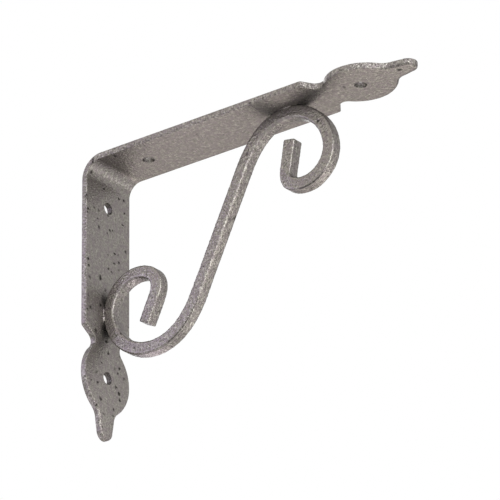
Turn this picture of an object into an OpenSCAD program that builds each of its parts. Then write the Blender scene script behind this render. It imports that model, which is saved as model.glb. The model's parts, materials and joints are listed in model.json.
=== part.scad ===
// Scroll shelf bracket: a flat strap bent to a right angle, its ends cut to leaf finials, braced by
// a scroll of square bar that is resistance welded to the inside of both legs.
// +X runs out from the wall, +Z up, Y across the strap. X = 0 is the wall plane. The origin is
// midway between the two wall screws.

/* [Strap] */
// Width of the strap
strap_w = 28.5; // [24:0.5:34]
// Thickness of the strap
strap_t = 2.7; // [2:0.1:3.2]
// Height of the leg on the wall, from the shelf plane down to its tip
wall_leg = 124.5; // [118:0.5:150]
// Length of the leg under the shelf, from the wall plane out to its tip
shelf_leg = 162.5; // [155:0.5:190]
// Radius of the bend on the outside
bend_outer = 10; // [9.5:0.5:12]
// Radius of the bend on the inside
bend_inner = 6.5; // [5.5:0.5:7]

/* [Screw holes] */
// Diameter of the screw holes
hole_d = 5.2; // [4:0.1:6.5]
// Height of the upper wall hole below the shelf plane
wall_hole = 19; // [16:0.5:24]
// Distance of the inner shelf hole from the wall plane
shelf_hole = 24.5; // [18:0.5:32]

/* [Finials] */
// Distance from the tip to the widest place of the leaf, where its hole is
leaf_at = 27.5; // [26.5:0.5:29]
// Radius of the leaf's edge on the side of the tip
leaf_tip_r = 17.5; // [17:0.5:18.5]
// Radius of the leaf's edge on the side of the neck
leaf_neck_r = 16.5; // [16:0.5:17.5]
// Radius of the rounded tip
tip_r = 4; // [3.5:0.1:4.4]
// Half width of the stem where it starts to swell into the leaf
stem_half = 4.8; // [4.5:0.1:5]
// Radius of the hollow between the stem and the leaf
stem_r = 7; // [5:0.5:8]
// Half width of the neck between the leaf and the strap
neck_half = 8; // [7.5:0.1:8.5]
// Radius of the hollow of the neck
neck_r = 3.5; // [3:0.1:4]
// Angle of the shoulder from the line of the leg
shoulder_angle = 58; // [50:1:65]
// Radius of the shoulder's corner
shoulder_r = 1.2; // [0.8:0.1:1.6]

/* [Scroll] */
// Side of the square bar
bar = 5.6; // [4:0.1:6]
// Length of the straight run between the two curls
run_length = 56; // [50:1:62]
// Angle of the straight run above level
run_angle = 64; // [61:0.5:66]
// Depth that the bar is pressed flat where it is welded to the strap
set_down = 0.5; // [0.1:0.05:0.6]

/* [Upper curl] */
// Radius of the bar's centreline where it leaves the straight run
upper_lead_r = 44; // [36:1:52]
// Angle of that bend
upper_lead_turn = 17; // [12:1:22]
// Radius of the sweep that touches the strap
upper_sweep_r = 21.5; // [19:0.5:23]
// Angle of the sweep
upper_sweep_turn = 128; // [120:1:134]
// Radius of the curl
upper_curl_r = 13.5; // [12.5:0.5:15]
// Angle of the curl
upper_curl_turn = 122; // [115:1:130]
// Radius of the last bend
upper_end_r = 5.5; // [4:0.5:7]
// Angle of the last bend
upper_end_turn = 77; // [65:1:85]
// Length of the straight end
upper_tail = 14.5; // [8:0.5:16]

/* [Lower curl] */
// Radius of the bar's centreline where it leaves the straight run
lower_lead_r = 38; // [32:1:46]
// Angle of that bend
lower_lead_turn = 20; // [14:1:24]
// Radius of the sweep that touches the strap
lower_sweep_r = 22.5; // [20:0.5:24]
// Angle of the sweep
lower_sweep_turn = 123; // [116:1:130]
// Radius of the curl
lower_curl_r = 14.5; // [13:0.5:16]
// Angle of the curl
lower_curl_turn = 129; // [122:1:136]
// Radius of the last bend
lower_end_r = 7.5; // [5:0.5:9]
// Angle of the last bend
lower_end_turn = 87; // [75:1:95]
// Length of the straight end
lower_tail = 13.5; // [8:0.5:15]

/* [Hidden] */
$fn = 128;
sag = 0.01;                                      // how far the points of an arc may cut inside it
slack = 1;                                       // how far a cutter passes a face
coat = "#8e8883";                                // grey hammer finish on both pieces
half_w = strap_w / 2;
wall_tip_hole = wall_leg - leaf_at;              // depth of the lower wall hole below the shelf plane
shelf_z = (wall_hole + wall_tip_hole) / 2;       // height of the shelf plane above the origin

// The number of chords that an arc needs, and its points from one angle to another.
function chords(r, turn) = ceil(abs(turn) / (2 * acos(1 - sag / r)));
function arc(centre, r, from, to) =
    let (n = chords(r, to - from))
    [for (i = [0:n]) centre + r * [cos(from + (to - from) * i / n), sin(from + (to - from) * i / n)]];
function angle(from, to) = atan2(to.y - from.y, to.x - from.x);
function reverse(list) = [for (i = [len(list) - 1:-1:0]) list[i]];

// ---- strap -------------------------------------------------------------------------------------

// Centres of the finial's edge arcs, as [distance from the tip, distance from the centre line].
// Neighbouring arcs touch, so the edge runs on without a corner.
leaf_tip_c = [leaf_at, half_w - leaf_tip_r];
leaf_neck_c = [leaf_at, half_w - leaf_neck_r];
stem_c = [leaf_at - beside(leaf_tip_r + stem_r, stem_half + stem_r - leaf_tip_c.y), stem_half + stem_r];
neck_c = [leaf_at + beside(leaf_neck_r + neck_r, neck_half + neck_r - leaf_neck_c.y), neck_half + neck_r];
shoulder_rise = half_w - shoulder_r * (1 - cos(shoulder_angle)) - neck_c.y + neck_r * cos(shoulder_angle);
shoulder_c = [
    neck_c.x + (neck_r + shoulder_r) * sin(shoulder_angle) + shoulder_rise / tan(shoulder_angle),
    half_w - shoulder_r
];

function beside(reach, rise) = sqrt(reach * reach - rise * rise);

// One edge of the finial, from its tip to where the strap has its full width.
half_finial = concat(
    arc([tip_r, 0], tip_r, 180, 90),
    arc(stem_c, stem_r, -90, angle(stem_c, leaf_tip_c)),
    arc(leaf_tip_c, leaf_tip_r, angle(leaf_tip_c, stem_c), 90),
    arc(leaf_neck_c, leaf_neck_r, 90, angle(leaf_neck_c, neck_c)),
    arc(neck_c, neck_r, angle(leaf_neck_c, neck_c) - 180, shoulder_angle - 90),
    arc(shoulder_c, shoulder_r, 90 + shoulder_angle, 90)
);

// The strap seen along its width, with its outer corner at the origin and its legs along +X and +Y.
// Both legs run on past their tips, which are cut out of them.
module side_view() {
    inner = strap_t + bend_inner;
    size = [shelf_leg + slack, wall_leg + slack];
    difference() {
        square(size);
        difference() {
            square(bend_outer);
            translate([bend_outer, bend_outer]) circle(bend_outer);
        }
        translate([inner, inner]) circle(bend_inner);
        translate([strap_t, inner]) square(size);
        translate([inner, strap_t]) square(size);
    }
}

// What the press takes out of a flat leg along +X: all that lies around its finial, and its two
// screw holes.
module press_cuts(length, inner_hole) {
    edge = [for (p = half_finial) [length - p.x, p.y]];
    far_edge = [for (p = reverse(edge)) if (p.y > 0) [p.x, -p.y]];
    shoulder = edge[len(edge) - 1].x;
    side = half_w + slack;
    beyond = length + 2 * slack;
    translate([0, 0, -slack]) {
        linear_extrude(strap_t + 2 * slack) polygon(concat(
            edge, [[shoulder, side], [beyond, side], [beyond, -side], [shoulder, -side]], far_edge
        ));
        for (x = [inner_hole, length - leaf_at])
            translate([x, 0, 0]) cylinder(h = strap_t + 2 * slack, d = hole_d);
    }
}

module strap() {
    color(coat) translate([0, 0, shelf_z]) difference() {
        rotate([90, 0, 0]) mirror([0, 1]) linear_extrude(strap_w, center = true) side_view();
        translate([0, 0, -strap_t]) press_cuts(shelf_leg, shelf_hole);
        rotate([0, 90, 0]) press_cuts(wall_leg, wall_hole);
    }
}

// ---- scroll ------------------------------------------------------------------------------------

// The scroll is laid out flat around the middle of its straight run. A place along the bar's
// centreline is a pose, [x, y, heading], and every bend turns clockwise from one pose to the next.
upper_start = [run_length / 2 * cos(run_angle), run_length / 2 * sin(run_angle), run_angle];
lower_start = [-upper_start.x, -upper_start.y, run_angle + 180];

upper_bends = [
    [upper_lead_r, upper_lead_turn], [upper_sweep_r, upper_sweep_turn],
    [upper_curl_r, upper_curl_turn], [upper_end_r, upper_end_turn]
];
lower_bends = [
    [lower_lead_r, lower_lead_turn], [lower_sweep_r, lower_sweep_turn],
    [lower_curl_r, lower_curl_turn], [lower_end_r, lower_end_turn]
];

function bend_centre(pose, r) = [pose.x + r * sin(pose.z), pose.y - r * cos(pose.z)];
function after(pose, r, turn) =
    let (c = bend_centre(pose, r), heading = pose.z - turn)
    [c.x - r * sin(heading), c.y + r * cos(heading), heading];
function ahead(pose, length) = pose + length * [cos(pose.z), sin(pose.z), 0];

// Poses along a curl: its bends one after another, then its straight end.
function curl(pose, bends, tail, i = 0) =
    i == len(bends) ? [pose, ahead(pose, tail)] :
    let (r = bends[i][0], turn = bends[i][1], n = chords(r, turn))
    concat(
        [for (k = [0:n - 1]) after(pose, r, turn * k / n)],
        curl(after(pose, r, turn), bends, tail, i + 1)
    );

// Both sides of the bar around a curl, out along its left and back along its right.
function sides(poses) = concat(
    [for (p = poses) [p.x - bar / 2 * sin(p.z), p.y + bar / 2 * cos(p.z)]],
    [for (p = reverse(poses)) [p.x + bar / 2 * sin(p.z), p.y - bar / 2 * cos(p.z)]]
);

outline = concat(
    sides(curl(upper_start, upper_bends, upper_tail)),
    sides(curl(lower_start, lower_bends, lower_tail))
);

// The scroll lies where its outermost places are pressed into both legs of the strap.
weld_depth = strap_t - set_down;
run_x = weld_depth - min([for (p = outline) p.x]);
run_z = -weld_depth - max([for (p = outline) p.y]);

module scroll() {
    color(coat) translate([0, 0, shelf_z]) difference() {
        translate([run_x, 0, run_z]) rotate([90, 0, 0]) linear_extrude(bar, center = true) polygon(outline);
        // The two lands where the bar is pressed flat against the strap.
        translate([0, -bar, -wall_leg]) cube([strap_t, 2 * bar, wall_leg]);
        translate([0, -bar, -strap_t]) cube([shelf_leg, 2 * bar, strap_t]);
    }
}

strap();
scroll();
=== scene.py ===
"""Scroll shelf bracket: its two pieces, their hammer finish, the stage and the camera.

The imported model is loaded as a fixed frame. Each of its nodes is replaced by a piece with the rounded
edges, the bend and the relief of real pressed and coiled steel.
"""
import json
from math import ceil, copysign, cos, exp, hypot, pi, radians, sin, sqrt, tan

import bpy
import numpy as np
from bpy.props import FloatProperty, FloatVectorProperty, PointerProperty
from bpy.types import Operator, Panel, PropertyGroup
from mathutils import Matrix, Vector, noise
from mathutils.geometry import delaunay_2d_cdt


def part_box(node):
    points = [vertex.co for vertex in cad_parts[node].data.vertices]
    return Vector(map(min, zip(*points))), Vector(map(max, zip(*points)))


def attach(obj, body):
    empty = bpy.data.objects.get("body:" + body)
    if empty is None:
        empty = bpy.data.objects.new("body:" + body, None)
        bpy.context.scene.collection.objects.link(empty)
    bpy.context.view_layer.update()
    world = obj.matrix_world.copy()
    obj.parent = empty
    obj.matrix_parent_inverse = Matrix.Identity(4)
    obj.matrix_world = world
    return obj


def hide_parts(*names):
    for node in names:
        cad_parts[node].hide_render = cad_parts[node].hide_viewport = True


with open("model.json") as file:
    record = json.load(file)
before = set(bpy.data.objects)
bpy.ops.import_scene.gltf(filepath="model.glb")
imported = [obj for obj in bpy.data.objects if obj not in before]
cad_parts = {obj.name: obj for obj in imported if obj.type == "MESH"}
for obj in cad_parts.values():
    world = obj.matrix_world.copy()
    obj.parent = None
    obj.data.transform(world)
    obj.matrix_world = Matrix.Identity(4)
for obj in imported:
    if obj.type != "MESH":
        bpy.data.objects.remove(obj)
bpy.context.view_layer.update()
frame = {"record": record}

bl_info = {
    "name": "Scroll Shelf Bracket",
    "version": (1, 0, 0),
    "blender": (4, 5, 0),
    "location": "View3D > Sidebar > Bracket",
    "description": "Builds a steel shelf bracket with leaf finials and a scroll brace, in hammer finish",
    "category": "Add Mesh",
}

MM = 0.001
STRAP_LOW, STRAP_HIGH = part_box("strap")
SCROLL_LOW, SCROLL_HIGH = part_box("scroll")
MOUNTS = {mount["name"]: mount for mount in frame["record"]["mounts"]}
WALL_X = STRAP_LOW.x                     # the wall plane
SHELF_Z = STRAP_HIGH.z                   # the shelf plane
BAR_HALF = (SCROLL_HIGH.y - SCROLL_LOW.y) / 2
BODY = "root"
MESH_STEP = 0.65 * MM                    # distance between the points of the strap's surface
EDGE_MARGIN = 0.6 * MESH_STEP            # how far the points inside a face keep from its edges
BAR_STEP = 0.45 * MM                     # distance between the points of the bar's surface
SIDE_POINTS = 8                          # points along a side of the bar's section
ARRIS_POINTS = 4                         # steps around a rounded arris

LEAF_REACH = 40 * MM                     # length of a leaf
TIP_REACH = 24 * MM                      # how far from a tip its rounder arris starts
SHOULDER_REACH = 46.5 * MM               # how far from the wall leg's tip its shoulders are
SHOULDER_WIDTH = 2.5 * MM                # how far along the edge a shoulder's rounder arris fades
SHOULDER_SHARE = 0.45                    # how much of the tip's rounder arris a shoulder has
SHEARED_WIDTH = 0.8 * MM                 # how far the sheared arris reaches up the rim
SHEARED_PATCH = 1.6 * MM                 # size of a patch where the coat is drawn back from it
SHEARED_MEAN = 0.35                      # share of the coat that is drawn back from it
SHEARED_SWING = 1.6                      # how much that share changes from patch to patch
GAP_REACH = 6.5 * MM                     # from the middle of the wall weld to the gap above or below it
GAP_SHADE_WIDTH = 2 * MM                       # distance over which the painted shade around a gap fades out
GAP_SHADE_CORE = 1.25                          # share of painted shade in a gap before it is cut off at 1
GAP_SHADE_SHARE = 0.75                          # share of that painted shade that is kept

END_ROUNDNESS = 0.7                      # of the arrises of the lower end: 0 is curl_arris, 1 is arris
OUTSIDE_ROUNDNESS = 0.2                  # of the arrises outside the lower curl
ROUNDING_STATIONS = 31                   # over how many stations the arrises change
BENDING_STATIONS = 9                     # over how many stations a bend starts
COILED = 1 / (30 * MM)                   # curvature from which the coat lies smooth on the arrises
LAP_HALF = 0.4 * MM                      # how far from the middle of an arris a rolling lap reaches
KNOCK_FROM = 0.55                        # share of BAR_HALF from which the knocks move the section
KNOCK_RISE = 0.3                         # share of it over which they reach their full height
KNOCK_SIZE = 1.3 * MM
LAND_MARGIN = 0.3 * MM                   # how far from its lands the bar's relief is pressed flat
FLASH_LENGTH = 7 * MM                    # length of the flash beside a weld
FLASH_RINGS = 19
FLASH_SIDES = 12
FLASH_THIN = 0.4                         # thickness of the flash away from its drop
FLASH_BLUNT = 0.4                        # how blunt the ends of the flash are: 0 is cut off
FLASH_END = 0.05                         # how far its ends close
DROP_AT = 0.78                           # where along the flash its drop is
DROP_WIDTH = 0.15                        # share of the flash's length that the drop takes up

LUMP_SIZE = 1.9 * MM
FLOW_SIZE = 6 * MM                       # width of the slow waves that the coat flowed out in
FLOW_HEIGHT = 0.02 * MM
FLOW_SHIFT = Vector((7, 3, 5))           # keeps the waves apart from the lumps
COAT = "coat"                            # a point's bare steel and painted shade, hammering and pinholes

# Each surface's coat: its share of darkening towards the pit colour, which is bare steel on the rims and
# arrises and painted shade in the holes, the weld gaps and the laps, its hammering as a multiple of the
# bar's, and its share of the pinholes that are open.
SHELF_LEG_COAT = (0, 0.52, 0.02)
WALL_LEG_COAT = (0, 0.5, 0.2)
WALL_LEAF_COAT = (0, 0.5, 0.6)
SHELF_RIM_COAT = (0, 1.2, 0.15)
WALL_RIM_COAT = (0.16, 0.65, 0.05)
TIP_ARRIS_COAT = (0.1, 1.4, 0.05)
SHEARED_COAT = (0.45, 1.2, 0.5)          # where the coat is drawn back from the arris under the shelf
# The holes' walls are darkened towards the pit colour as painted shade.
SHELF_HOLE_SHADE_COAT = (0.27, 1, 0)
WALL_HOLE_SHADE_COAT = (0.6, 1, 0)
BAR_COAT = (0, 1, 0.06)
ARRIS_COAT = (0, 0.55, 0.06)
# A lap's groove is real relief; the near-black in it is painted shade.
LAP_SHADE_COAT = (0.9, 1, 0.06)


def screw_places(name, axis, spacing):
    """Places of a mount's two screws along one axis, the lower one first."""
    middle = MOUNTS[name]["pos_m"][axis]
    half = MOUNTS[name]["dims"][spacing] * MM / 2
    return middle - half, middle + half


WALL_SCREWS = [SHELF_Z - z for z in screw_places("wall_screws", 2, "spacing_y_mm")][::-1]
SHELF_SCREWS = [x - WALL_X for x in screw_places("shelf_screws", 0, "spacing_x_mm")]


def linear(value):
    """Linear light for an sRGB value from 0 to 1."""
    return value / 12.92 if value <= 0.04045 else ((value + 0.055) / 1.055) ** 2.4


def rgb(hex_colour):
    """Linear colour for an sRGB hex value."""
    return tuple(linear(int(hex_colour[i:i + 2], 16) / 255) for i in (1, 3, 5))


# ---- settings ------------------------------------------------------------------------------------


def length(name, description, default):
    """A length in metres that the user can change."""
    return FloatProperty(name=name, description=description, default=default, min=0, unit="LENGTH")


def colour(name, description, hex_colour):
    """A colour that the user can change."""
    return FloatVectorProperty(
        name=name, description=description, default=rgb(hex_colour), subtype="COLOR", min=0, max=1
    )


class StrapSettings(PropertyGroup):
    """Sizes of the strap."""

    bend_outer: length("Outer bend", "Radius of the bend on the outside", 10 * MM)
    bend_inner: length("Inner bend", "Radius of the bend on the inside", 6.5 * MM)
    leaf_tip_r: length("Leaf, tip side", "Radius of the leaf's edge towards the tip", 17.5 * MM)
    leaf_neck_r: length("Leaf, neck side", "Radius of the leaf's edge towards the neck", 16.5 * MM)
    tip_r: length("Tip", "Radius of the rounded tip", 4 * MM)
    stem_half: length("Stem", "Half width of the stem where it starts to swell", 4.8 * MM)
    stem_r: length("Stem hollow", "Radius of the hollow between the stem and the leaf", 7 * MM)
    neck_half: length("Neck", "Half width of the neck between the leaf and the strap", 8 * MM)
    neck_r: length("Neck hollow", "Radius of the hollow of the neck", 3.5 * MM)
    shoulder_r: length("Shoulder corner", "Radius of the shoulder's corner", 1.2 * MM)
    shoulder_angle: FloatProperty(
        name="Shoulder", description="Angle of the shoulder from the line of the leg",
        default=radians(58), subtype="ANGLE",
    )
    edge_outer: length("Outer arris", "Radius of the edges on the wall and shelf sides", 0.15 * MM)
    edge_inner: length("Inner arris", "Radius of the edges on the scroll's side", 0.14 * MM)
    edge_tip: length("Tip arris", "Radius of the inner arris at the two tips", 1.1 * MM)
    lumps: length("Lumps", "Height of the coat's hammered lumps on the strap", 0.014 * MM)


class ScrollSettings(PropertyGroup):
    """Sizes of the scroll. A curl's four bends are its lead, its sweep, its curl and its end."""

    run_length: length("Run", "Length of the straight run between the two curls", 56 * MM)
    run_angle: FloatProperty(
        name="Run angle", description="Angle of the straight run above level",
        default=radians(64), subtype="ANGLE",
    )
    upper_radii: FloatVectorProperty(
        name="Upper radii", description="Radii of the upper curl's bends", size=4, unit="LENGTH",
        default=(44 * MM, 21.5 * MM, 13.5 * MM, 5.5 * MM),
    )
    upper_turns: FloatVectorProperty(
        name="Upper turns", description="Angles of the upper curl's bends", size=4, unit="ROTATION",
        default=(radians(17), radians(128), radians(122), radians(77)),
    )
    upper_tail: length("Upper end", "Length of the upper curl's straight end", 14.5 * MM)
    lower_radii: FloatVectorProperty(
        name="Lower radii", description="Radii of the lower curl's bends", size=4, unit="LENGTH",
        default=(38 * MM, 22.5 * MM, 14.5 * MM, 7.5 * MM),
    )
    lower_turns: FloatVectorProperty(
        name="Lower turns", description="Angles of the lower curl's bends", size=4, unit="ROTATION",
        default=(radians(20), radians(123), radians(129), radians(87)),
    )
    lower_tail: length("Lower end", "Length of the lower curl's straight end", 13.5 * MM)
    arris: length("Arris", "Radius of the bar's roundest long edges", 1.25 * MM)
    curl_arris: length("Outer arris", "Radius of its long edges around the outside of the curls", 0.8 * MM)
    cut_arris: length("Cut arris", "Radius of the edges of the bar's cut ends", 0.45 * MM)
    lumps: length("Lumps", "Height of the coat's hammered lumps on the bar", 0.045 * MM)
    knocks: length("Knocks", "Height of the unevenness of the bar's long edges", 0.15 * MM)
    upper_lap: length("Upper lap", "Distance from the upper end to a rolling lap in an edge", 26.5 * MM)
    upper_lap_length: length("Upper lap length", "Length of the upper rolling lap", 11 * MM)
    lower_lap: length("Lower lap", "Distance from the lower end to a rolling lap in an edge", 98 * MM)
    lower_lap_length: length("Lower lap length", "Length of the lower rolling lap", 21 * MM)
    lap_depth: length("Lap depth", "Depth of the rolling laps", 0.2 * MM)
    wall_flash: length("Wall flash", "Height of the metal squeezed out beside the wall weld", 1.25 * MM)
    shelf_flash: length("Shelf flash", "Height of the metal squeezed out beside the shelf weld", 0.5 * MM)
    swell: FloatProperty(
        name="Swell", description="Share of the bending strain that shows as a change of width",
        default=0.35, min=0, max=0.5, subtype="FACTOR",
    )


class CoatSettings(PropertyGroup):
    """Colours and grain of the hammer finish."""

    light: colour("Light grain", "Colour of the raised grain", "#a39f98")
    dark: colour("Dark grain", "Colour between the grain", "#5a5751")
    warm: colour("Warm tint", "Tint of the warmer patches", "#7a7273")
    pit: colour("Pits", "Colour of the pinholes in the coat", "#2a2725")
    grain: length("Grain", "Width of one speck of the grain", 0.9 * MM)
    pit_size: length("Pit size", "Width of a pinhole in the coat", 1.8 * MM)
    pit_spacing: length("Pit spacing", "Distance between pinholes", 4.5 * MM)


# ---- mesh helpers --------------------------------------------------------------------------------


def arc(centre, radius, start, end, step=MESH_STEP):
    """Points on an arc from one angle to another, about a step apart."""
    count = max(2, ceil(abs(end - start) * radius / step))
    angles = [start + (end - start) * i / count for i in range(count + 1)]
    return [(centre[0] + radius * cos(a), centre[1] + radius * sin(a)) for a in angles]


def quarter_round(radius):
    """A rounded arris as (inset from the wall, depth below the face), from the face to the wall."""
    turns = [pi / 2 * i / ARRIS_POINTS for i in range(ARRIS_POINTS + 1)]
    return [(radius * (1 - sin(t)), radius * (1 - cos(t))) for t in turns]


def spread(start, end, step):
    """Values from start to end, about a step apart."""
    count = max(1, ceil(abs(end - start) / step))
    return [start + (end - start) * i / count for i in range(count + 1)]


def joined(low, high):
    """Faces between two closed rows of points."""
    return [(low[i - 1], high[i - 1], high[i], low[i]) for i in range(len(low))]


def tube_faces(rings):
    """Faces of a tube that is closed at both ends. Its rings run clockwise as seen along it."""
    faces = [face for low, high in zip(rings, rings[1:]) for face in joined(low, high)]
    return faces + [tuple(rings[0]), tuple(rings[-1])[::-1]]


def coat_relief(place, lumps):
    """Height of the coat over the bare steel at a place, in metres."""
    hammered = noise.noise(place / LUMP_SIZE)
    flow = noise.noise(place / FLOW_SIZE + FLOW_SHIFT)
    return lumps * hammered + FLOW_HEIGHT * flow


def held_nowhere(_):
    """No relief is pressed out of a piece at any place."""
    return 0


def make_piece(name, points, faces, coat, lumps, node=None, held_flat=held_nowhere):
    """A smooth mesh piece with the coat's relief, standing for a CAD node if one is named.

    coat is the coat of each point, or one for all. held_flat gives, for a place, how much of the
    relief is pressed out of it, from 0 to 1.
    """
    mesh = bpy.data.meshes.new(name)
    mesh.from_pydata(points, [], faces)
    shares = mesh.attributes.new(COAT, "FLOAT_VECTOR", "POINT")
    shares.data.foreach_set("vector", np.broadcast_to(coat, (len(points), 3)).ravel())
    mesh.update()
    normals = [v.normal.copy() for v in mesh.vertices]
    for vertex, normal in zip(mesh.vertices, normals):
        vertex.co += normal * coat_relief(vertex.co, lumps) * (1 - held_flat(vertex.co))
    mesh.shade_smooth()
    piece = bpy.data.objects.new(name, mesh)
    bpy.context.collection.objects.link(piece)
    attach(piece, BODY)
    if node:
        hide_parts(node)
    return piece


# ---- strap ---------------------------------------------------------------------------------------


def beside(reach, rise):
    """How far sideways a link of a given length reaches when it rises by a given height."""
    return sqrt(reach * reach - rise * rise)


def finial_edge(sizes, half_width, leaf_at):
    """One edge of a finial from its tip to full width, as (distance from the tip, half width).

    Its arcs touch one another: tip, stem, both sides of the leaf, neck and shoulder.
    """
    leaf_tip = (leaf_at, half_width - sizes.leaf_tip_r)
    leaf_neck = (leaf_at, half_width - sizes.leaf_neck_r)
    stem_y = sizes.stem_half + sizes.stem_r
    stem = (leaf_at - beside(sizes.leaf_tip_r + sizes.stem_r, stem_y - leaf_tip[1]), stem_y)
    neck_y = sizes.neck_half + sizes.neck_r
    neck = (leaf_at + beside(sizes.leaf_neck_r + sizes.neck_r, neck_y - leaf_neck[1]), neck_y)
    lean = sizes.shoulder_angle
    corner = sizes.shoulder_r
    rise = half_width - corner * (1 - cos(lean)) - neck_y + sizes.neck_r * cos(lean)
    shoulder = (neck[0] + (sizes.neck_r + corner) * sin(lean) + rise / tan(lean), half_width - corner)

    def angle(centre, other):
        return np.arctan2(other[1] - centre[1], other[0] - centre[0])

    return (
        arc((sizes.tip_r, 0), sizes.tip_r, pi, pi / 2)
        + arc(stem, sizes.stem_r, -pi / 2, angle(stem, leaf_tip))
        + arc(leaf_tip, sizes.leaf_tip_r, angle(leaf_tip, stem), pi / 2)[1:]
        + arc(leaf_neck, sizes.leaf_neck_r, pi / 2, angle(leaf_neck, neck))[1:]
        + arc(neck, sizes.neck_r, angle(leaf_neck, neck) - pi, lean - pi / 2)[1:]
        + arc(shoulder, corner, lean + pi / 2, pi / 2)
    )


class Blank:
    """The strap before it is bent: a flat sheet with u along it, v across it and w through it.

    u is 0 at the middle of the bend and grows towards the shelf leg's tip. w is 0 on the outside.
    """

    def __init__(self, sizes):
        self.sizes = sizes
        self.half_width = (STRAP_HIGH.y - STRAP_LOW.y) / 2
        self.thickness = SCROLL_LOW.x - WALL_X          # the scroll lies on the strap's inside
        self.outer_half = sizes.bend_outer * pi / 4
        self.inner_half = sizes.bend_inner * pi / 4 + sizes.bend_outer - self.thickness - sizes.bend_inner
        self.shelf_tip = self.along(STRAP_HIGH.x - WALL_X)
        self.wall_tip = -self.along(SHELF_Z - STRAP_LOW.z)

    def along(self, distance):
        """Distance along the outside from the middle of the bend to a place on a leg."""
        return self.outer_half + distance - self.sizes.bend_outer

    def fold(self, u, v, w):
        """Where a point of the flat sheet lies on the bent strap."""
        bend = self.sizes
        reach = abs(u)
        if reach > self.outer_half:
            out = reach - self.outer_half + bend.bend_outer
            outside = (out, 0)
            inside = (out, self.thickness)
        else:
            turn = pi / 4 + reach / bend.bend_outer
            outside = (bend.bend_outer * (1 - cos(turn)), bend.bend_outer * (1 - sin(turn)))
            travel = reach / self.outer_half * self.inner_half
            turn = min(pi / 4 + travel / bend.bend_inner, pi / 2)
            past = max(0, travel - bend.bend_inner * pi / 4)
            middle = self.thickness + bend.bend_inner
            inside = (middle - bend.bend_inner * cos(turn) + past, middle - bend.bend_inner * sin(turn))
        share = w / self.thickness
        far = outside[0] + (inside[0] - outside[0]) * share
        deep = outside[1] + (inside[1] - outside[1]) * share
        if u >= 0:
            return Vector((WALL_X + far, v, SHELF_Z - deep))
        return Vector((WALL_X + deep, v, SHELF_Z - far))


def edge_loop(points):
    """A closed edge as arrays of its points and of its unit normals.

    The metal lies on the left of the way along it, where the normals point.
    """
    places = np.array(points)
    tangent = np.roll(places, -1, 0) - np.roll(places, 1, 0)
    normal = np.stack((-tangent[:, 1], tangent[:, 0]), 1) / np.hypot(*tangent.T)[:, None]
    return places, normal


def strap_edges(blank):
    """The blank's outline and its four screw holes, each as an edge_loop."""
    sizes = blank.sizes
    shelf = finial_edge(sizes, blank.half_width, STRAP_HIGH.x - WALL_X - SHELF_SCREWS[1])
    wall = finial_edge(sizes, blank.half_width, SHELF_Z - STRAP_LOW.z - WALL_SCREWS[1])
    shelf_side = [(blank.shelf_tip - x, y) for x, y in shelf]
    wall_side = [(blank.wall_tip + x, y) for x, y in wall]
    straight = [
        (u, blank.half_width) for u in spread(shelf_side[-1][0], wall_side[-1][0], MESH_STEP)[1:-1]
    ]
    upper = shelf_side + straight + wall_side[::-1]
    lower = [(u, -v) for u, v in upper[-2:0:-1]]
    loops = [edge_loop(upper + lower)]
    radius = MOUNTS["wall_screws"]["dims"]["hole_r_mm"] * MM
    places = [blank.along(x) for x in SHELF_SCREWS] + [-blank.along(z) for z in WALL_SCREWS]
    for u in places:
        loops.append(edge_loop(arc((u, 0), radius, 2 * pi, 0, MESH_STEP / 2)[:-1]))
    return loops


def lattice(blank, outline, holes, margin):
    """Points of a triangular lattice that lie in the blank's faces, clear of its edges."""
    side = outline[outline[:, 1] >= 0]
    side = side[np.argsort(side[:, 0])]
    us = []
    vs = []
    rows = ceil(blank.half_width / (MESH_STEP * sqrt(3) / 2))
    for row in range(-rows, rows + 1):
        u = np.arange(blank.wall_tip, blank.shelf_tip, MESH_STEP) + (row % 2) * MESH_STEP / 2
        v = row * MESH_STEP * sqrt(3) / 2
        room = [np.interp(u + shift, *side.T, 0, 0) for shift in (-margin, 0, margin)]
        keep = abs(v) < np.min(room, 0) - margin
        for centre, radius in holes:
            keep &= np.hypot(u - centre, v) > radius + margin
        us.extend(u[keep])
        vs.extend([v] * int(keep.sum()))
    return np.stack((us, vs), 1)


def wall_rows(blank, places):
    """The rounded wall of an edge, from the outside to the inside, as insets and depths.

    The inner arris is rounder towards the strap's two tips and at the wall leg's shoulders.
    """
    sizes = blank.sizes
    from_wall_tip = places[:, 0] - blank.wall_tip
    from_tip = np.minimum(blank.shelf_tip - places[:, 0], from_wall_tip)
    at_tip = np.clip(2 * (1 - from_tip / TIP_REACH), 0, 1)
    at_shoulder = SHOULDER_SHARE * np.exp(-((from_wall_tip - SHOULDER_REACH) / SHOULDER_WIDTH) ** 2)
    outer = np.full(len(places), sizes.edge_outer)
    inner = sizes.edge_inner + (sizes.edge_tip - sizes.edge_inner) * np.maximum(at_tip, at_shoulder)
    high = blank.thickness - inner
    count = ceil(blank.thickness / MESH_STEP)
    rows = quarter_round(outer)
    rows += [(outer * 0, outer + (high - outer) * i / count) for i in range(1, count)]
    rows += [(inset, blank.thickness - depth) for inset, depth in quarter_round(inner)[::-1]]
    return rows


def face_mesh(blank, loops, insets):
    """Points and triangles of one flat face of the blank: the edges, inset, come first."""
    rings = [places + normal * inset[:, None] for (places, normal), inset in zip(loops, insets)]
    holes = []
    for ring in rings[1:]:
        centre = ring.mean(0)
        holes.append((centre[0], hypot(*(ring[0] - centre))))
    inner = lattice(blank, rings[0], holes, EDGE_MARGIN)
    points = np.concatenate(rings + [inner])
    edges = []
    start = 0
    for ring in rings:
        count = len(ring)
        edges += [(start + i, start + (i + 1) % count) for i in range(count)]
        start += count
    # A 1 keeps the triangles inside the outline. Those in its holes are left out below.
    result = delaunay_2d_cdt([Vector(p) for p in points], edges, [], 1, 1e-9)
    source = [ids[0] for ids in result[3]]
    triangles = []
    for corners in result[2]:
        triangle = [source[i] for i in corners]
        middle = points[triangle].mean(0)
        if all(hypot(middle[0] - u, middle[1]) > radius for u, radius in holes):
            triangles.append(triangle)
    return points, triangles


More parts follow.
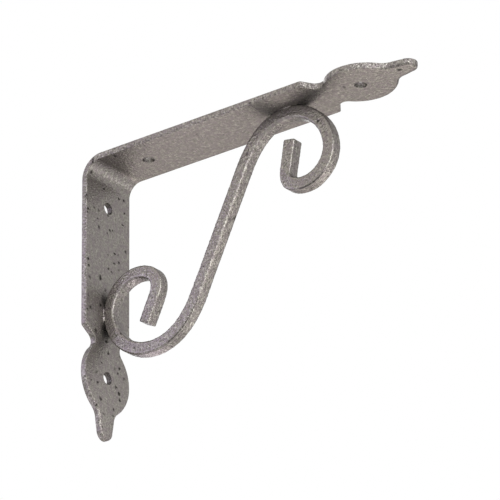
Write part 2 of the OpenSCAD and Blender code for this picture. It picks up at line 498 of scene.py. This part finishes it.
def face_coat(blank, u):
    """The coat on both faces of the strap at a distance along it."""
    if u > 0:
        return SHELF_LEG_COAT
    return WALL_LEG_COAT if u > blank.wall_tip + LEAF_REACH else WALL_LEAF_COAT


def gap_painted_shade(place, weld):
    """The coat at a place on the wall leg, with shade painted as dark, bare-looking steel into the gaps
    above and below the weld.
    """
    beside = max(abs(place.y) - BAR_HALF, 0)
    along = abs(abs(place.z - weld.z) - GAP_REACH)
    # This darkening is painted shade where the bar meets the strap.
    darkening = GAP_SHADE_SHARE * min(max(GAP_SHADE_CORE - hypot(beside, along / 2) / GAP_SHADE_WIDTH, 0), 1)
    return (darkening, *WALL_LEG_COAT[1:])


def sheared_coat(u, v):
    """The coat at a place on the sheared arris under the shelf, drawn back only here and there."""
    drawn = SHEARED_MEAN + SHEARED_SWING * noise.noise(Vector((u, v, 0)) / SHEARED_PATCH)
    darkening, *others = SHEARED_COAT
    return (darkening * min(max(drawn, 0), 1), *others)


def rim_coat(blank, u, v, w):
    """The coat at a place on the strap's rim."""
    if u > 0:
        return sheared_coat(u, v) if w > blank.thickness - SHEARED_WIDTH else SHELF_RIM_COAT
    return TIP_ARRIS_COAT if w > blank.thickness - blank.sizes.edge_tip else WALL_RIM_COAT


def build_strap(sizes, weld):
    """The strap: two pressed faces joined by rounded edges, then bent to a right angle."""
    blank = Blank(sizes)
    loops = strap_edges(blank)
    walls = [wall_rows(blank, places) for places, _ in loops]
    outside, outer_faces = face_mesh(blank, loops, [wall[0][0] for wall in walls])
    inside, inner_faces = face_mesh(blank, loops, [wall[-1][0] for wall in walls])
    points = [blank.fold(u, v, 0) for u, v in outside]
    inner_start = len(points)
    points += [blank.fold(u, v, blank.thickness) for u, v in inside]
    faces = outer_faces + [[inner_start + i for i in triangle[::-1]] for triangle in inner_faces]
    coat = [face_coat(blank, u) for u, _ in np.concatenate((outside, inside))]
    # Shade is painted into the gaps beside the wall weld on the strap's inside.
    for i in range(inner_start, len(points)):
        if coat[i] == WALL_LEG_COAT:
            coat[i] = gap_painted_shade(points[i], weld)
    first = 0
    for (places, normal), wall in zip(loops, walls):
        count = len(places)
        rows = [range(first, first + count)]
        for inset, depth in wall[1:-1]:
            rows.append(range(len(points), len(points) + count))
            for (u, v), w in zip(places + normal * inset[:, None], depth):
                points.append(blank.fold(u, v, w))
                if first:
                    # Hole walls are darkened as painted shade.
                    coat.append(SHELF_HOLE_SHADE_COAT if u > 0 else WALL_HOLE_SHADE_COAT)
                else:
                    coat.append(rim_coat(blank, u, v, w))
        rows.append(range(inner_start + first, inner_start + first + count))
        for low, high in zip(rows, rows[1:]):
            faces += joined(low, high)
        first += count
    return points, faces, coat


# ---- scroll --------------------------------------------------------------------------------------


def scroll_path(sizes):
    """Stations along the bar from the lower end to the upper.

    A station is (x, z, heading, curvature, roundness of the left arrises, of the right ones). A
    roundness of 0 is the curl_arris and 1 is the arris.
    """
    lower = list(zip(sizes.lower_radii, sizes.lower_turns))
    upper = list(zip(sizes.upper_radii, sizes.upper_turns))
    heading = sizes.run_angle - sum(turn for _, turn in lower)
    parts = [(sizes.lower_tail, 0, END_ROUNDNESS, END_ROUNDNESS)]
    parts += [(r * turn, 1 / r, 1, OUTSIDE_ROUNDNESS) for r, turn in lower[::-1]]
    parts += [(sizes.run_length, 0, 1, 1)]
    parts += [(r * turn, -1 / r, 1, 1) for r, turn in upper[:1]]
    parts += [(r * turn, -1 / r, 0, 1) for r, turn in upper[1:]]
    parts += [(sizes.upper_tail, 0, 0, 0)]
    x = z = 0
    stations = []
    for reach, curvature, *roundness in parts:
        count = ceil(reach / BAR_STEP)
        step = reach / count
        for _ in range(count):
            stations.append((x, z, heading, curvature, *roundness))
            half_turn = curvature * step / 2
            chord = step if curvature == 0 else 2 / curvature * sin(half_turn)
            x += chord * cos(heading + half_turn)
            z += chord * sin(heading + half_turn)
            heading += 2 * half_turn
    stations.append((x, z, heading, curvature, *roundness))
    return np.array(stations)


def bar_section(left, right):
    """Section of the bar as (across, along Y) points around it, from the radii of its arrises."""
    points = []
    arrises = ((left, left), (left, right), (right, right), (right, left))
    for quarter, (before, arris) in enumerate(arrises):
        turn = Matrix.Rotation(quarter * pi / 2, 2)
        middle = BAR_HALF - arris
        edge = [(BAR_HALF, y) for y in np.linspace(before - BAR_HALF, middle, SIDE_POINTS + 1)[:-1]]
        for angle in np.linspace(0, pi / 2, ARRIS_POINTS + 1)[:-1]:
            edge.append((middle + arris * cos(angle), middle + arris * sin(angle)))
        points += [turn @ Vector(p) for p in edge]
    return points


def moving_mean(values, count):
    """The mean of the odd count of values around each value."""
    return np.convolve(np.pad(values, count // 2, "edge"), np.ones(count) / count, "valid")


def scroll_layout(sizes):
    """The bar's stations in place, and both of its sides seen along Y."""
    stations = scroll_path(sizes)
    heading = stations[:, 2]
    sideways = np.stack((-np.sin(heading), np.cos(heading)), 1) * BAR_HALF
    outline = np.concatenate((stations[:, :2] + sideways, stations[:, :2] - sideways))
    shift = np.array((SCROLL_HIGH.x - outline[:, 0].max(), SCROLL_LOW.z - outline[:, 1].min()))
    stations[:, :2] += shift
    return stations, outline + shift


def knocked(across, y, place, height):
    """A point of the section with its arris pushed in or out a little, as if by knocks."""
    share = (min(abs(across), abs(y)) / BAR_HALF - KNOCK_FROM) / KNOCK_RISE
    push = height * min(max(share, 0), 1) * noise.noise(place / KNOCK_SIZE)
    return across + copysign(push, across), y + copysign(push, y)


def lap_stations(sizes, last):
    """The stations of the rolling laps: in the left arris near the upper end, then in the right one."""
    upper_end = last - round(sizes.upper_lap / BAR_STEP)
    upper_start = upper_end - round(sizes.upper_lap_length / BAR_STEP)
    lower_start = round(sizes.lower_lap / BAR_STEP)
    lower_end = lower_start + round(sizes.lower_lap_length / BAR_STEP)
    return range(upper_start, upper_end), range(lower_start, lower_end)


def build_scroll(sizes):
    """The scroll: a square bar swept along its path, cut off at both ends and pressed on the strap."""
    stations, _ = scroll_layout(sizes)
    curvature = moving_mean(stations[:, 3], BENDING_STATIONS)
    roundness = [moving_mean(stations[:, column], ROUNDING_STATIONS) for column in (4, 5)]
    left, right = [sizes.curl_arris + (sizes.arris - sizes.curl_arris) * share for share in roundness]
    last = len(stations) - 1
    upper_tail = last - round(sizes.upper_tail / BAR_STEP)
    upper_lap, lower_lap = lap_stations(sizes, last)
    ends = quarter_round(sizes.cut_arris)
    margin = ceil(sizes.cut_arris / BAR_STEP)
    rings = [(0, depth, inset) for inset, depth in ends]
    rings += [(i, 0, 0) for i in range(margin + 1, last - margin)]
    rings += [(last, -depth, inset) for inset, depth in ends[::-1]]
    points = []
    coat = []
    for index, advance, inset in rings:
        x, z, turn = stations[index, :3]
        x += advance * cos(turn)
        z += advance * sin(turn)
        smooth = index > upper_tail or abs(curvature[index]) > COILED
        for across, y in bar_section(left[index], right[index]):
            across, y = (across * (1 - inset / BAR_HALF), y * (1 - inset / BAR_HALF))
            across, y = knocked(across, y, Vector((x, y + across, z)), sizes.knocks)
            on_arris = min(abs(across), abs(y)) > BAR_HALF - max(left[index], right[index])
            coat.append(ARRIS_COAT if smooth and on_arris else BAR_COAT)
            lapped = (index in upper_lap and across > 0) or (index in lower_lap and across < 0)
            if lapped and y < 0 and abs(abs(across) + y) < LAP_HALF:
                # The groove of the lap is painted nearly black as shade.
                coat[-1] = LAP_SHADE_COAT
                across -= copysign(sizes.lap_depth, across)
                y += sizes.lap_depth
            swell = 1 + sizes.swell * curvature[index] * across
            place = Vector((x - across * sin(turn), y * swell, z + across * cos(turn)))
            place.x = max(place.x, SCROLL_LOW.x)
            place.z = min(place.z, SCROLL_HIGH.z)
            points.append(place)
    count = len(points) // len(rings)
    return points, tube_faces([range(a, a + count) for a in range(0, len(points), count)]), coat


def near_strap(place):
    """How much the relief is pressed out of the bar at a place near its lands on the strap."""
    gap = min(place.x - SCROLL_LOW.x, SCROLL_HIGH.z - place.z)
    return max(0, 1 - gap / LAND_MARGIN)


def weld_places(sizes):
    """The middles of the two welds, on the wall leg and on the shelf leg."""
    _, outline = scroll_layout(sizes)
    wall_land = outline[outline[:, 0].argmin()]
    shelf_land = outline[outline[:, 1].argmax()]
    return Vector((SCROLL_LOW.x, 0, wall_land[1])), Vector((shelf_land[0], 0, SCROLL_HIGH.z))


def build_flash(sizes):
    """Beads of metal that the two welds squeezed out along both sides of the bar."""
    wall_weld, shelf_weld = weld_places(sizes)
    beads = [
        (wall_weld, Vector((0, 0, -1)), Vector((1, 0, 0)), sizes.wall_flash),
        (shelf_weld, Vector((1, 0, 0)), Vector((0, 0, -1)), sizes.shelf_flash),
    ]
    points = []
    faces = []
    for middle, ahead, out, height in beads:
        for side in (Vector((0, -1, 0)), Vector((0, 1, 0))):
            start = len(points)
            for i in range(FLASH_RINGS):
                share = i / (FLASH_RINGS - 1)
                drop = exp(-((share - DROP_AT) / DROP_WIDTH) ** 2)
                closing = max(sin(pi * share), FLASH_END) ** FLASH_BLUNT
                radius = height * (FLASH_THIN + (1 - FLASH_THIN) * drop) * closing
                centre = middle + ahead * FLASH_LENGTH * (share - 0.5) + side * BAR_HALF
                for k in range(FLASH_SIDES):
                    turn = 2 * pi * k / FLASH_SIDES
                    points.append(centre + (side * cos(turn) + out * sin(turn)) * radius)
            made = tube_faces([range(a, a + FLASH_SIDES) for a in range(start, len(points), FLASH_SIDES)])
            clockwise = side.cross(out).dot(ahead) < 0
            faces += made if clockwise else [face[::-1] for face in made]
    return points, faces


# ---- hammer finish -------------------------------------------------------------------------------


def add(tree, kind, links=(), **settings):
    """Adds a node, sets its inputs and properties by name, and links its inputs."""
    node = tree.nodes.new(kind)
    inputs = settings.pop("inputs", {})
    for name, value in settings.items():
        setattr(node, name, value)
    for name, value in inputs.items():
        node.inputs[name].default_value = value
    for name, socket in dict(links).items():
        tree.links.new(socket, node.inputs[name])
    return node


def hammer_powder_coat(coat):
    """Grey hammer finish powder coat, cured on steel.

    The powder draws up into fine specks as it cures, so the colour and the gloss change from speck
    to speck, and here and there a pinhole stays open and looks nearly black. The metal flake in it
    gives it soft, wide highlights.
    """
    material = bpy.data.materials.new("hammer_powder_coat")
    material.use_nodes = True
    tree = material.node_tree
    tree.nodes.clear()
    place = add(tree, "ShaderNodeTexCoord").outputs["Object"]
    grain = add(
        tree, "ShaderNodeTexNoise", {"Vector": place},
        inputs={"Scale": 1 / coat.grain, "Detail": 2.0, "Roughness": 0.5},
    )
    specks = add(
        tree, "ShaderNodeMapRange", {"Value": grain.outputs["Fac"]},
        inputs={"From Min": 0.32, "From Max": 0.68},
    )
    point_coat = add(tree, "ShaderNodeAttribute", attribute_name=COAT)
    shares = add(tree, "ShaderNodeSeparateXYZ", {"Vector": point_coat.outputs["Vector"]}).outputs
    centred = add(
        tree, "ShaderNodeMath", {0: specks.outputs["Result"]}, operation="SUBTRACT", inputs={1: 0.5},
    )
    speckle = add(
        tree, "ShaderNodeMath",
        {0: centred.outputs["Value"], 1: shares["Y"]}, operation="MULTIPLY_ADD",
        inputs={2: 0.5},
    )
    patches = add(
        tree, "ShaderNodeTexNoise", {"Vector": place},
        inputs={"Scale": 0.55 / coat.grain, "Detail": 2.0},
    )
    tint = add(
        tree, "ShaderNodeMapRange", {"Value": patches.outputs["Fac"]},
        inputs={"From Min": 0.38, "From Max": 0.62, "To Max": 0.8},
    )
    two_tone = add(
        tree, "ShaderNodeMix", {"Factor": speckle.outputs["Value"]}, data_type="RGBA",
        inputs={"A": (*coat.dark, 1), "B": (*coat.light, 1)},
    )
    tinted = add(
        tree, "ShaderNodeMix",
        {"Factor": tint.outputs["Result"], "A": two_tone.outputs["Result"]},
        data_type="RGBA", inputs={"B": (*coat.warm, 1)},
    )
    # A pinhole shows where the surface cuts the ball round a cell's point, so the cells are smaller
    # than the distance between pinholes.
    cell = (coat.pit_size * coat.pit_spacing ** 2) ** (1 / 3)
    wobble = add(
        tree, "ShaderNodeTexNoise", {"Vector": place},
        inputs={"Scale": 1 / coat.pit_size, "Detail": 1.0},
    )
    wobbled_place = add(
        tree, "ShaderNodeVectorMath", {0: wobble.outputs["Color"], 2: place}, operation="MULTIPLY_ADD",
        inputs={1: (coat.pit_size,) * 3},
    )
    cells = add(
        tree, "ShaderNodeTexVoronoi", {"Vector": wobbled_place.outputs["Vector"]},
        inputs={"Scale": 1 / cell, "Randomness": 1.0},
    )
    lots = add(tree, "ShaderNodeSeparateColor", {"Color": cells.outputs["Color"]})
    open_cell = add(
        tree, "ShaderNodeMath", {0: lots.outputs["Red"], 1: shares["Z"]}, operation="LESS_THAN",
    )
    pit_width = add(
        tree, "ShaderNodeMapRange", {"Value": lots.outputs["Green"]},
        inputs={"To Min": 0.6, "To Max": 1.25},
    )
    pit_distance = add(
        tree, "ShaderNodeMath",
        {0: cells.outputs["Distance"], 1: pit_width.outputs["Result"]}, operation="DIVIDE",
    )
    pit_edge = coat.pit_size / 2 / cell
    hollow = add(
        tree, "ShaderNodeMapRange", {"Value": pit_distance.outputs["Value"]},
        inputs={"From Min": 0.35 * pit_edge, "From Max": 1.15 * pit_edge, "To Min": 1.0, "To Max": 0.0},
    )
    pit = add(
        tree, "ShaderNodeMath",
        {0: hollow.outputs["Result"], 1: open_cell.outputs["Value"]}, operation="MULTIPLY",
    )
    pitted = add(
        tree, "ShaderNodeMix",
        {"Factor": pit.outputs["Value"], "A": tinted.outputs["Result"]},
        data_type="RGBA", inputs={"B": (*coat.pit, 1)},
    )
    # The first share darkens the coat towards the pit colour: bare steel on the rims and arrises, painted
    # shade in the holes, the weld gaps and the laps.
    darkened = add(
        tree, "ShaderNodeMix",
        {"Factor": shares["X"], "A": pitted.outputs["Result"]},
        data_type="RGBA", inputs={"B": (*coat.pit, 1)},
    )
    gloss = add(
        tree, "ShaderNodeMapRange", {"Value": specks.outputs["Result"]},
        inputs={"To Min": 0.38, "To Max": 0.26},
    )
    height = add(
        tree, "ShaderNodeMath",
        {0: speckle.outputs["Value"], 1: pit.outputs["Value"]}, operation="SUBTRACT",
    )
    bump = add(
        tree, "ShaderNodeBump", {"Height": height.outputs["Value"]},
        inputs={"Strength": 1.0, "Distance": 0.18 * MM},
    )
    shader = add(
        tree, "ShaderNodeBsdfPrincipled",
        {
            "Base Color": darkened.outputs["Result"],
            "Roughness": gloss.outputs["Result"],
            "Normal": bump.outputs["Normal"],
        },
        inputs={"Metallic": 0.85, "Specular Tint": (0.5, 0.5, 0.5, 1)},
    )
    add(tree, "ShaderNodeOutputMaterial", {"Surface": shader.outputs["BSDF"]})
    return material


def coat_of(settings):
    """The one coat that both pieces share, made when it is first asked for."""
    made = bpy.data.materials.get("hammer_powder_coat")
    return made or hammer_powder_coat(settings)


# ---- stage ---------------------------------------------------------------------------------------

VIEW_TURN = radians(37.04)               # of the camera round the bracket, from straight in front
VIEW_RISE = radians(-24.855)             # of the camera above level
VIEW_ROLL = radians(-0.726)
VIEW_REACH = 1.5924                      # from the camera to the point it looks at
VIEW_POINT = Vector((0.07755, 0, -0.00191))
LOWER_CURL = Vector((0.03, 0, -0.022))   # near the underside of the lower curl
UPPER_CURL = Vector((0.128, 0, 0.017))   # near the underside of the upper curl
LOWER_TIP = Vector((0.012, 0, -0.05))    # beside the wall leg's tip
LOWER_SWEEP = Vector((0.046, 0, -0.017))
LENS = 280.65                            # in mm
SENSOR = 36                              # in mm
SIGHT = 20                               # how far the camera sees
FLOOR_Z = -0.95
FLOOR_REACH = 6
WORLD_LEVEL = 0.68                       # of the light that the world casts on matte surfaces


def add_camera():
    """A long lens that looks up at the bracket from its front right."""
    data = bpy.data.cameras.new("camera")
    data.sensor_width = SENSOR
    data.lens = LENS
    data.clip_end = SIGHT
    ahead = Vector((-sin(VIEW_TURN) * cos(VIEW_RISE), cos(VIEW_TURN) * cos(VIEW_RISE), -sin(VIEW_RISE)))
    right = Vector((cos(VIEW_TURN), sin(VIEW_TURN), 0))
    up = right.cross(ahead)
    rolled_right = right * cos(VIEW_ROLL) + up * sin(VIEW_ROLL)
    rolled_up = up * cos(VIEW_ROLL) - right * sin(VIEW_ROLL)
    camera = bpy.data.objects.new("camera", data)
    camera.matrix_world = Matrix.Translation(VIEW_POINT - ahead * VIEW_REACH) @ Matrix(
        (rolled_right, rolled_up, -ahead)
    ).transposed().to_4x4()
    bpy.context.collection.objects.link(camera)
    bpy.context.scene.camera = camera


def add_softbox(name, towards, reach, width, height, level, tint="#ffffff", facing=VIEW_POINT):
    """An area lamp that faces a point from a direction. A level of 1 is as bright as white."""
    data = bpy.data.lights.new(name, "AREA")
    data.shape = "RECTANGLE"
    data.size = width
    data.size_y = height
    data.energy = level * pi * width * height
    data.color = rgb(tint)
    lamp = bpy.data.objects.new(name, data)
    lamp.location = facing + Vector(towards).normalized() * reach
    lamp.rotation_euler = Vector(towards).to_track_quat("Z", "Y").to_euler()
    lamp.visible_camera = False
    bpy.context.collection.objects.link(lamp)


def matte_paint(name, hex_colour):
    """Matte emulsion on a studio floor: one flat colour with no gloss."""
    material = bpy.data.materials.new(name)
    material.use_nodes = True
    shader = material.node_tree.nodes["Principled BSDF"]
    shader.inputs["Base Color"].default_value = (*rgb(hex_colour), 1)
    shader.inputs["Roughness"].default_value = 0.9
    return material


def add_floor():
    """A plain pale floor well below the bracket, which hangs as if on its wall."""
    mesh = bpy.data.meshes.new("floor")
    corners = [(-1, -1), (1, -1), (1, 1), (-1, 1)]
    mesh.from_pydata([(x * FLOOR_REACH, y * FLOOR_REACH, FLOOR_Z) for x, y in corners], [], [(0, 1, 2, 3)])
    floor = bpy.data.objects.new("floor", mesh)
    mesh.materials.append(matte_paint("matte_floor_paint", "#f2f1ef"))
    bpy.context.collection.objects.link(floor)


def add_world(strength):
    """A white world of a given strength. Where it is seen, mirrored or seen through, it is plain white."""
    world = bpy.data.worlds.new("white_tent")
    world.use_nodes = True
    bpy.context.scene.world = world
    tree = world.node_tree
    tree.nodes.clear()
    path = add(tree, "ShaderNodeLightPath")
    seen = add(
        tree, "ShaderNodeMath",
        {0: path.outputs["Is Camera Ray"], 1: path.outputs["Is Glossy Ray"]}, operation="MAXIMUM",
    )
    through = add(
        tree, "ShaderNodeMath",
        {0: seen.outputs["Value"], 1: path.outputs["Is Transmission Ray"]}, operation="MAXIMUM",
    )
    level = add(
        tree, "ShaderNodeMapRange", {"Value": through.outputs["Value"]},
        inputs={"To Min": strength, "To Max": 1.0},
    )
    light = add(
        tree, "ShaderNodeBackground", {"Strength": level.outputs["Result"]},
        inputs={"Color": (1, 1, 1, 1)},
    )
    add(tree, "ShaderNodeOutputWorld", {"Surface": light.outputs["Background"]})


# ---- operators -----------------------------------------------------------------------------------


class BRACKET_OT_strap(Operator):
    """Build the bent strap with its two leaf finials and four screw holes"""

    bl_idname = "bracket.strap"
    bl_label = "Strap"

    def execute(self, context):
        sizes = context.scene.bracket_strap
        wall_weld, _ = weld_places(context.scene.bracket_scroll)
        points, faces, coat = build_strap(sizes, wall_weld)
        piece = make_piece("strap_pressed", points, faces, coat, sizes.lumps, "strap")
        piece.data.materials.append(coat_of(context.scene.bracket_coat))
        return {"FINISHED"}


class BRACKET_OT_scroll(Operator):
    """Build the scroll of square bar that braces the strap"""

    bl_idname = "bracket.scroll"
    bl_label = "Scroll"

    def execute(self, context):
        sizes = context.scene.bracket_scroll
        points, faces, coat = build_scroll(sizes)
        piece = make_piece("scroll_bar", points, faces, coat, sizes.lumps, "scroll", near_strap)
        piece.data.materials.append(coat_of(context.scene.bracket_coat))
        return {"FINISHED"}


class BRACKET_OT_weld_flash(Operator):
    """Build the beads beside the two welds that join the scroll to the strap"""

    bl_idname = "bracket.weld_flash"
    bl_label = "Weld flash"

    def execute(self, context):
        sizes = context.scene.bracket_scroll
        points, faces = build_flash(sizes)
        piece = make_piece("weld_flash", points, faces, BAR_COAT, sizes.lumps)
        piece.data.materials.append(coat_of(context.scene.bracket_coat))
        return {"FINISHED"}


class BRACKET_OT_stage(Operator):
    """Set the floor, the lights and the camera"""

    bl_idname = "bracket.stage"
    bl_label = "Stage"

    def execute(self, context):
        add_world(WORLD_LEVEL)
        add_floor()
        add_softbox(
            "left_softbox", (-0.71, -0.64, 0.29), 0.206, 0.14, 0.14, 1.7, "#e1d8ff", LOWER_CURL
        )
        add_softbox(
            "fill_softbox", (-0.48, -0.72, 0.5), 0.257, 0.17, 0.17, 0.4, "#fff0c8", UPPER_CURL
        )
        add_softbox("key_softbox", (0.72, -0.67, 0.0), 1.8, 1.1, 1.9, 4.05, "#f9fbff")
        add_softbox("right_softbox", (0.93, -0.08, -0.33), 1.8, 1.0, 1.5, 2.9, "#fffcf0")
        add_softbox("low_softbox", (0.4, 0.72, -0.52), 1.5, 0.5, 0.9, 2.05)
        # Cards close to the bracket light the undersides of the curls apart from the shelf leg's.
        add_softbox(
            "lower_card", (-0.55, 0.65, -0.53), 0.066, 0.04, 0.04, 2.4, "#f4ecff", LOWER_CURL
        )
        add_softbox(
            "sweep_card", (0.35, 0.72, -0.57), 0.05, 0.035, 0.035, 0.8, "#fffaf4", LOWER_SWEEP
        )
        add_softbox(
            "tip_card", (-0.55, -0.4, -0.7), 0.08, 0.05, 0.05, 1.6, "#f2ecff", LOWER_TIP
        )
        add_softbox(
            "upper_card", (0.05, 0.72, -0.62), 0.06, 0.05, 0.04, 1.9, "#fff8f4", UPPER_CURL
        )
        add_softbox("back_softbox", (-0.6, 0.72, -0.65), 0.6, 0.35, 0.35, 1.1, "#fff4ee")
        add_softbox("rim_softbox", (-0.72, 0.55, 0.42), 1.8, 0.8, 0.8, 4.0)
        add_softbox("top_softbox", (-0.1, -0.2, 1), 1.6, 1.0, 1.0, 0.6)
        add_camera()
        context.scene.view_settings.view_transform = "Standard"
        return {"FINISHED"}


class BRACKET_PT_panel(Panel):
    """Sizes, colours and buttons"""

    bl_idname = "BRACKET_PT_panel"
    bl_label = "Shelf Bracket"
    bl_space_type = "VIEW_3D"
    bl_region_type = "UI"
    bl_category = "Bracket"

    def draw(self, context):
        scene = context.scene
        for group in (scene.bracket_strap, scene.bracket_scroll, scene.bracket_coat):
            box = self.layout.box()
            for name in group.__annotations__:
                box.prop(group, name)
        for operator in (BRACKET_OT_strap, BRACKET_OT_scroll, BRACKET_OT_weld_flash, BRACKET_OT_stage):
            self.layout.operator(operator.bl_idname)


CLASSES = (
    StrapSettings, ScrollSettings, CoatSettings,
    BRACKET_OT_strap, BRACKET_OT_scroll, BRACKET_OT_weld_flash, BRACKET_OT_stage, BRACKET_PT_panel,
)


def register():
    for cls in CLASSES:
        bpy.utils.register_class(cls)
    bpy.types.Scene.bracket_strap = PointerProperty(type=StrapSettings)
    bpy.types.Scene.bracket_scroll = PointerProperty(type=ScrollSettings)
    bpy.types.Scene.bracket_coat = PointerProperty(type=CoatSettings)


def unregister():
    del bpy.types.Scene.bracket_coat
    del bpy.types.Scene.bracket_scroll
    del bpy.types.Scene.bracket_strap
    for cls in reversed(CLASSES):
        bpy.utils.unregister_class(cls)


def main():
    register()
    bpy.ops.bracket.strap()
    bpy.ops.bracket.scroll()
    bpy.ops.bracket.weld_flash()
    bpy.ops.bracket.stage()


if __name__ == "__main__":
    main()
